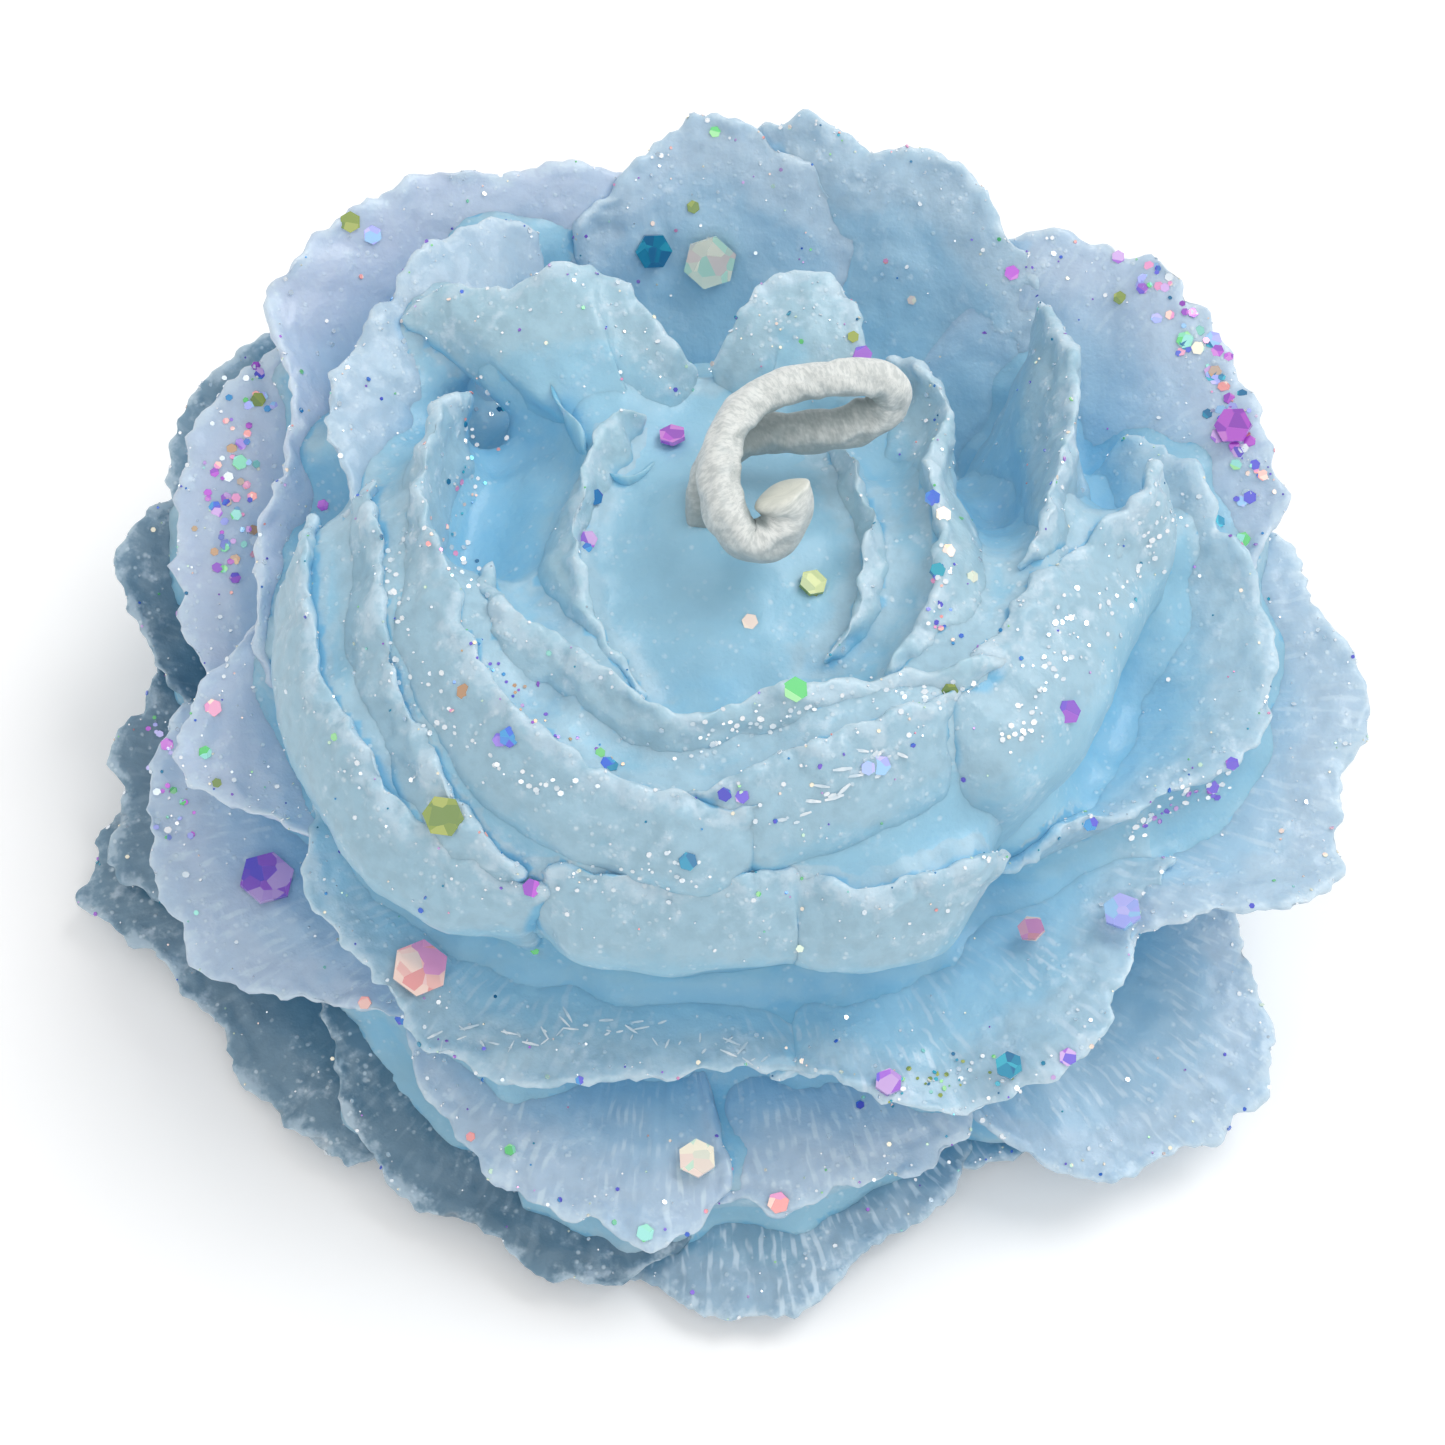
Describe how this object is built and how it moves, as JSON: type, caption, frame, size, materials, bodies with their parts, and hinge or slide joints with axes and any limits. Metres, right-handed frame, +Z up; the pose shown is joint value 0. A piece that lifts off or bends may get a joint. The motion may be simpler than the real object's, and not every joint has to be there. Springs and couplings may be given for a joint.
{
  "type": "low-temperature candle",
  "caption": "Open flower candle: a wax body wrapped in rings of overlapping petals, with glitter flakes, a curled wick and a sunken metal wick tab.",
  "frame": {"origin": "on the resting face, under the middle of the box round the whole candle", "axes": "+Z up, -Y towards the side that the picture shows, +X to that view's right"},
  "size_m": [0.08, 0.075, 0.0406],
  "materials": {
    "wax_body": "slightly translucent poured wax, satin",
    "wax_heart": "slightly translucent poured wax, satin",
    "wax_inner": "slightly translucent poured wax, satin",
    "wax_bud": "slightly translucent poured wax, satin",
    "wax_guard": "slightly translucent poured wax, satin",
    "wax_outer": "slightly translucent poured wax, satin",
    "wax_base": "slightly translucent poured wax, satin",
    "flake_white": "glossy iridescent polyester film flake",
    "flake_teal": "glossy iridescent polyester film flake",
    "flake_magenta": "glossy iridescent polyester film flake",
    "flake_olive": "glossy iridescent polyester film flake",
    "flake_violet": "glossy iridescent polyester film flake",
    "flake_pink": "glossy iridescent polyester film flake",
    "flake_lilac": "glossy iridescent polyester film flake",
    "wick": "braided cotton, wax coated, matt",
    "wick_tab": "tinned steel, satin"
  },
  "bodies": {
    "root": {"wax_body": "wax_body", "heart_petal_left": "wax_heart", "heart_petal_right": "wax_heart", "inner_petal_front": "wax_inner", "inner_petal_right": "wax_inner", "inner_petal_back_right": "wax_inner", "inner_petal_back_left": "wax_inner", "bud_petal_front": "wax_bud", "bud_petal_left": "wax_bud", "bud_petal_left_middle": "wax_bud", "bud_petal_right": "wax_bud", "bud_petal_back_right": "wax_bud", "bud_petal_back_left": "wax_bud", "bud_petal_left_outer": "wax_bud", "bud_petal_front_outer": "wax_bud", "guard_petal_right_inner": "wax_guard", "guard_petal_back_middle": "wax_guard", "guard_petal_back_left": "wax_guard", "guard_petal_back_right": "wax_guard", "guard_petal_right_back": "wax_guard", "guard_petal_left": "wax_guard", "guard_petal_front": "wax_guard", "guard_petal_front_right": "wax_guard", "guard_petal_right": "wax_guard", "guard_petal_left_back": "wax_guard", "outer_petal_left": "wax_outer", "outer_petal_front_left": "wax_outer", "outer_petal_front": "wax_outer", "outer_petal_right": "wax_outer", "outer_petal_back_left": "wax_outer", "outer_petal_back": "wax_outer", "outer_petal_back_right": "wax_outer", "outer_petal_right_back": "wax_outer", "base_petal_left_back": "wax_base", "base_petal_left_middle": "wax_base", "base_petal_front_left": "wax_base", "base_petal_front": "wax_base", "base_petal_left": "wax_base", "base_petal_front_right": "wax_base", "base_petal_right": "wax_base", "base_petal_back_right": "wax_base", "base_petal_back": "wax_base", "base_petal_back_left": "wax_base", "flake_back_white": "flake_white", "flake_low_white": "flake_white", "flake_back_teal": "flake_teal", "flake_front_teal": "flake_teal", "flake_right_magenta": "flake_magenta", "flake_heart_magenta": "flake_magenta", "flake_heart_olive": "flake_olive", "flake_left_violet": "flake_violet", "flake_front_violet": "flake_violet", "flake_front_pink": "flake_pink", "flake_right_rose": "flake_pink", "flake_right_lilac": "flake_lilac", "wick": "wick", "wick_tab": "wick_tab"}
  },
  "joints": []
}
